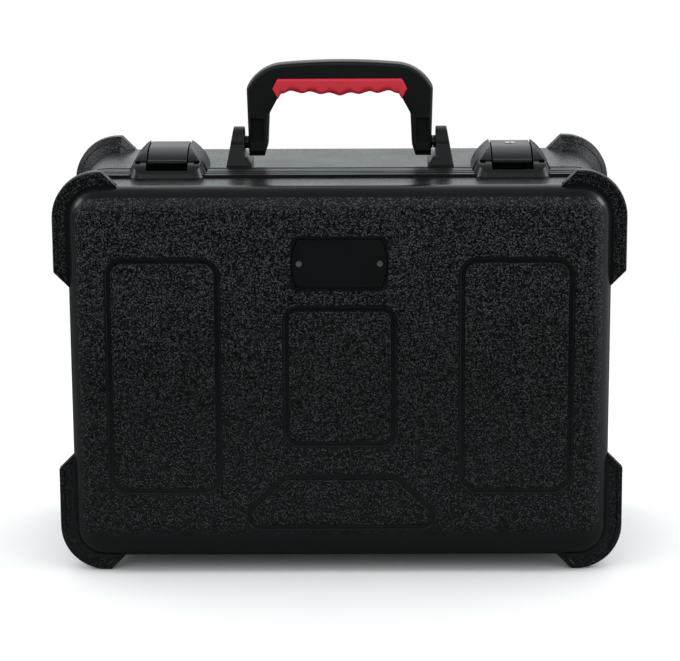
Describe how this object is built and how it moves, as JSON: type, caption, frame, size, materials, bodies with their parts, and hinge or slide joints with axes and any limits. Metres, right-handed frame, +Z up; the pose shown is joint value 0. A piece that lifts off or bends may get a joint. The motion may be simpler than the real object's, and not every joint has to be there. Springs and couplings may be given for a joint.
{
  "type": "microphone case",
  "caption": "Hard upright carrying case with hinged lid, lift latches, key lock, folding handle with soft grip, corner guards and foam for hand microphones.",
  "frame": {"origin": "centre of the case's footprint, on the floor it stands on", "axes": "+X along the case, to the right as seen from the lid; +Y from the lid's face to the back; +Z up"},
  "size_m": [0.47, 0.22, 0.4164],
  "materials": {
    "shell_plastic": "pebble grain, matt",
    "valance_aluminium": "black anodised, satin",
    "seal_rubber": "matt",
    "name_plate_metal": "black, satin",
    "handle_plastic": "fine satin",
    "grip_rubber": "soft, matt",
    "latch_body": "semi-gloss",
    "latch_paddle": "semi-gloss",
    "steel": "zinc plated",
    "lock_metal": "polished",
    "screw_steel": "zinc plated",
    "hinge_steel": "black, satin",
    "foam": "open-cell foam, matt"
  },
  "bodies": {
    "base": {"base_shell": "shell_plastic", "base_valance": "valance_aluminium", "valance_seal": "seal_rubber", "handle_bracket_left": "handle_plastic", "handle_bracket_right": "handle_plastic", "handle_pivot_pins": "steel", "handle_backing_plates": "steel", "handle_bracket_screws": "screw_steel", "latch_housing_left": "latch_body", "latch_housing_right": "latch_body", "latch_housing_screws": "screw_steel", "latch_paddle_pin_left": "steel", "latch_paddle_pin_right": "steel", "hinge_leaf_base_left": "hinge_steel", "hinge_leaf_base_right": "hinge_steel", "hinge_pin_left": "steel", "hinge_pin_right": "steel", "hinge_rivets_base": "screw_steel", "drop_foam": "foam", "floor_pad": "foam"},
    "lid": {"lid_shell": "shell_plastic", "lid_valance": "valance_aluminium", "name_plate": "name_plate_metal", "name_plate_rivets": "name_plate_metal", "keeper_hood_left": "latch_body", "keeper_hood_right": "latch_body", "keeper_bar_left": "steel", "keeper_bar_right": "steel", "keeper_hood_screws": "screw_steel", "hinge_leaf_lid_left": "hinge_steel", "hinge_leaf_lid_right": "hinge_steel", "hinge_rivets_lid": "screw_steel", "lid_pad": "foam"},
    "handle": {"handle_bow": "handle_plastic", "handle_grip": "grip_rubber"},
    "paddle_left": {"latch_paddle_left": "latch_paddle", "latch_claw_pin_left": "steel"},
    "paddle_right": {"latch_paddle_right": "latch_paddle", "latch_claw_pin_right": "steel"},
    "claw_left": {"latch_claw_left": "steel"},
    "claw_right": {"latch_claw_right": "steel"},
    "lock": {"lock_cylinder": "lock_metal", "lock_cam": "steel"}
  },
  "joints": [
    {"name": "lid_hinge", "type": "hinge", "parent": "base", "child": "lid", "pos_m": [0, -0.0315, 0.00655], "axis": [1, 0, 0], "range_deg": [0, 105]},
    {"name": "handle_swing", "type": "hinge", "parent": "base", "child": "handle", "pos_m": [0, 0.005, 0.34685], "axis": [1, 0, 0], "range_deg": [-90, 90]},
    {"name": "paddle_lift_left", "type": "hinge", "parent": "base", "child": "paddle_left", "pos_m": [-0.1435, 0.006, 0.34155], "axis": [-1, 0, 0], "range_deg": [0, 55]},
    {"name": "claw_swing_left", "type": "hinge", "parent": "paddle_left", "child": "claw_left", "pos_m": [-0.1435, -0.012, 0.33595], "axis": [-1, 0, 0], "range_deg": [-33, 0]},
    {"name": "paddle_lift_right", "type": "hinge", "parent": "base", "child": "paddle_right", "pos_m": [0.1435, 0.006, 0.34155], "axis": [-1, 0, 0], "range_deg": [0, 55]},
    {"name": "claw_swing_right", "type": "hinge", "parent": "paddle_right", "child": "claw_right", "pos_m": [0.1435, -0.012, 0.33595], "axis": [-1, 0, 0], "range_deg": [-33, 0]},
    {"name": "lock_turn", "type": "hinge", "parent": "paddle_right", "child": "lock", "pos_m": [0.1435, -0.008, 0.34035], "axis": [0, 0, 1], "range_deg": [0, 90]}
  ],
  "couplings": [
    {"joint": "claw_swing_left", "follows": "paddle_lift_left", "ratio": -0.6},
    {"joint": "claw_swing_right", "follows": "paddle_lift_right", "ratio": -0.6}
  ]
}
